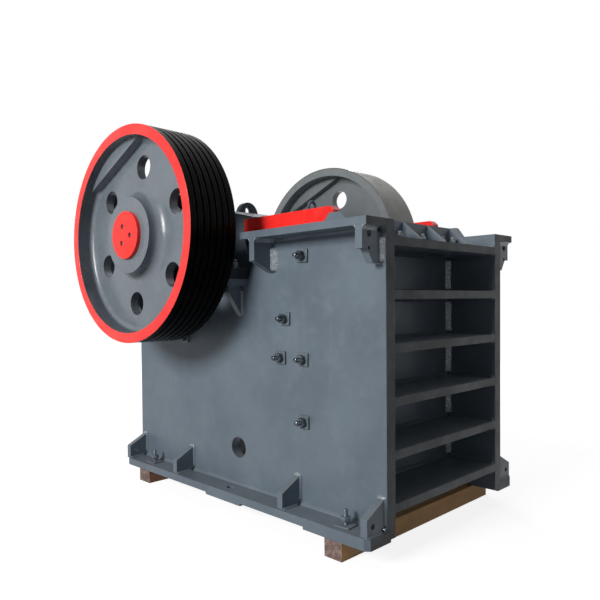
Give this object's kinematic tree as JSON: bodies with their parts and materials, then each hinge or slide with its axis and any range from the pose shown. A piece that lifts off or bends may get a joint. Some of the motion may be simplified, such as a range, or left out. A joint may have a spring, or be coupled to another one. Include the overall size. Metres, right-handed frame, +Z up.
{
  "type": "jaw crusher",
  "caption": "Single-toggle jaw crusher with ribbed welded frame, grooved belt pulley and flywheel on an eccentric shaft, standing on timbers.",
  "frame": {"origin": "on the ground, at the centre of the machine's footprint box", "axes": "+Z up, +X towards the ribbed front frame behind the fixed jaw, -Y towards the grooved belt pulley"},
  "size_m": [2.24, 2.248, 2.401],
  "materials": {
    "frame_paint": "semi-gloss blue-grey machine paint",
    "wheel_paint": "semi-gloss grey machine paint over cast iron",
    "red_paint": "gloss red paint",
    "manganese_steel": "as-cast, dusty",
    "machined_steel": "turned",
    "spring_steel": "black",
    "timber": "sawn, weathered"
  },
  "bodies": {
    "frame": {"side_plate_near": "frame_paint", "side_plate_far": "frame_paint", "base_flange_near": "frame_paint", "base_flange_far": "frame_paint", "base_gussets_near": "frame_paint", "base_gussets_far": "frame_paint", "top_flange_near": "frame_paint", "top_flange_far": "frame_paint", "bearing_seat_near": "frame_paint", "bearing_seat_far": "frame_paint", "top_gussets_near": "frame_paint", "top_gussets_far": "frame_paint", "front_wall": "frame_paint", "front_top_beam": "frame_paint", "front_shelves": "frame_paint", "front_bottom_beam": "frame_paint", "feed_guard": "frame_paint", "rear_wall": "frame_paint", "rear_shelves": "frame_paint", "fixed_jaw_plate": "manganese_steel", "swing_jaw_plate": "manganese_steel", "cheek_plate_upper_near": "red_paint", "cheek_plate_upper_far": "red_paint", "cheek_plate_lower_near": "manganese_steel", "cheek_plate_lower_far": "manganese_steel", "cheek_stop_near": "frame_paint", "cheek_stop_far": "frame_paint", "swing_jaw": "frame_paint", "toggle_seat_front": "manganese_steel", "toggle_seat_rear": "manganese_steel", "toggle_plate": "frame_paint", "toggle_block": "frame_paint", "tension_rod": "machined_steel", "tension_pin": "machined_steel", "tension_spring": "spring_steel", "tension_nut": "machined_steel", "bearing_housing_near": "frame_paint", "bearing_housing_far": "frame_paint", "bearing_cover_near": "frame_paint", "bearing_cover_far": "frame_paint", "timber_front": "timber", "timber_rear": "timber"},
    "rotor": {"eccentric_shaft": "machined_steel", "flywheel": "wheel_paint", "belt_pulley": "wheel_paint", "pulley_cap": "red_paint", "flywheel_cap": "red_paint"}
  },
  "joints": [
    {"name": "shaft_spin", "type": "hinge", "parent": "frame", "child": "rotor", "pos_m": [-0.445, 0, 1.726], "axis": [0, 1, 0], "continuous": true}
  ]
}
